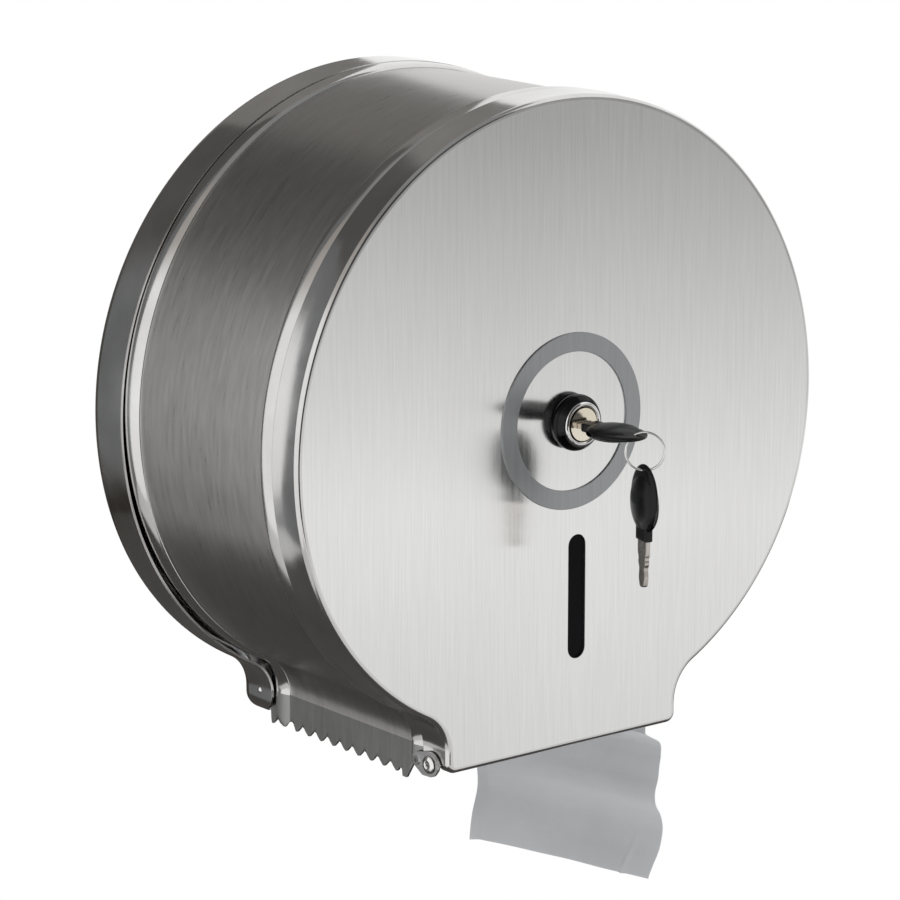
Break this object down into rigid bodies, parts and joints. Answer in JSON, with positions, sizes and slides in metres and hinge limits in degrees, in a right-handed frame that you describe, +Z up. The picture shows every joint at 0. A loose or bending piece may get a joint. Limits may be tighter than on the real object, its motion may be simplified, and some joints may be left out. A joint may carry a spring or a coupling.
{
  "type": "jumbo toilet roll dispenser",
  "caption": "Wall-mounted keyhole-shaped steel dispenser for a jumbo toilet roll, with a hinged locking front cover, keys, spindle, roll and toothed tear edge.",
  "frame": {"origin": "on the wall plane, at the centre of the casing's round part", "axes": "+Z up, -Y out of the wall and through the front cover, +Y into the wall, +X to the right as seen from the front"},
  "size_m": [0.2632, 0.1849, 0.3363],
  "materials": {
    "polished_steel": "polished stainless steel",
    "brushed_drum": "brushed stainless steel",
    "brushed_face": "brushed stainless steel, grain upright",
    "plain_steel": "plain steel sheet",
    "satin_ring": "satin grey",
    "black_nickel": "black nickel plate",
    "bright_plate": "bright nickel plate",
    "plug_brass": "plated brass",
    "smoked_acrylic": "smoked acrylic",
    "key_plastic": "gloss black",
    "key_steel": "nickel-plated",
    "hub_plastic": "moulded, satin",
    "core_board": "bare board",
    "tissue": "soft matt tissue"
  },
  "bodies": {
    "housing": {"rear_pan": "polished_steel", "body_shell": "brushed_drum", "pan_rivets": "bright_plate", "left_hinge_bracket": "plain_steel", "right_hinge_bracket": "plain_steel", "bracket_rivets": "bright_plate", "spindle_plate": "plain_steel", "spindle_tube": "plain_steel", "spindle_rivets": "bright_plate", "keeper_plate": "plain_steel", "paper_web": "tissue"},
    "cover": {"cover_pan": "brushed_face", "hinge_eyelets": "bright_plate", "lock_escutcheon": "satin_ring", "lock_housing": "black_nickel", "lock_face_ring": "bright_plate", "lock_washer": "plain_steel", "lock_nut": "plain_steel", "level_window": "smoked_acrylic", "window_retainer": "plain_steel"},
    "lock_core": {"lock_plug": "plug_brass", "lock_wafers": "plug_brass", "lock_cam": "plain_steel", "cam_screw": "bright_plate"},
    "lock_key": {"key_bow": "key_plastic", "key_blade": "key_steel"},
    "ring": {"key_ring": "bright_plate"},
    "spare_key": {"spare_key_bow": "key_plastic", "spare_key_blade": "key_steel"},
    "roll": {"roll_hub": "hub_plastic", "hub_bearing": "hub_plastic", "roll_core": "core_board", "paper_roll": "tissue"},
    "tail": {"paper_tail": "tissue"}
  },
  "joints": [
    {"name": "cover_hinge", "type": "hinge", "parent": "housing", "child": "cover", "pos_m": [0, -0.1253, -0.1275], "axis": [1, 0, 0], "range_deg": [0, 95]},
    {"name": "lock_turn", "type": "hinge", "parent": "cover", "child": "lock_core", "pos_m": [0.0025, -0.13, 0.002], "axis": [0, -1, 0], "range_deg": [0, 90]},
    {"name": "key_withdraw", "type": "slide", "parent": "lock_core", "child": "lock_key", "axis": [0, -1, 0], "range_m": [0, 0.026]},
    {"name": "ring_swing", "type": "hinge", "parent": "lock_key", "child": "ring", "pos_m": [0.0025, -0.1716, 0.002], "axis": [0.788, -0.6157, 0], "range_deg": [-18, 18]},
    {"name": "spare_key_swing", "type": "hinge", "parent": "ring", "child": "spare_key", "pos_m": [0.00613, -0.17443, -0.0108], "axis": [0.788, -0.6157, 0], "range_deg": [-25, 25]},
    {"name": "roll_spin", "type": "hinge", "parent": "housing", "child": "roll", "pos_m": [0.0025, -0.07, 0.002], "axis": [0, -1, 0], "continuous": true},
    {"name": "tail_swing", "type": "hinge", "parent": "housing", "child": "tail", "pos_m": [0.0495, -0.0717, -0.1385], "axis": [0.1162, -0.9932, 0], "range_deg": [-25, 25]}
  ]
}
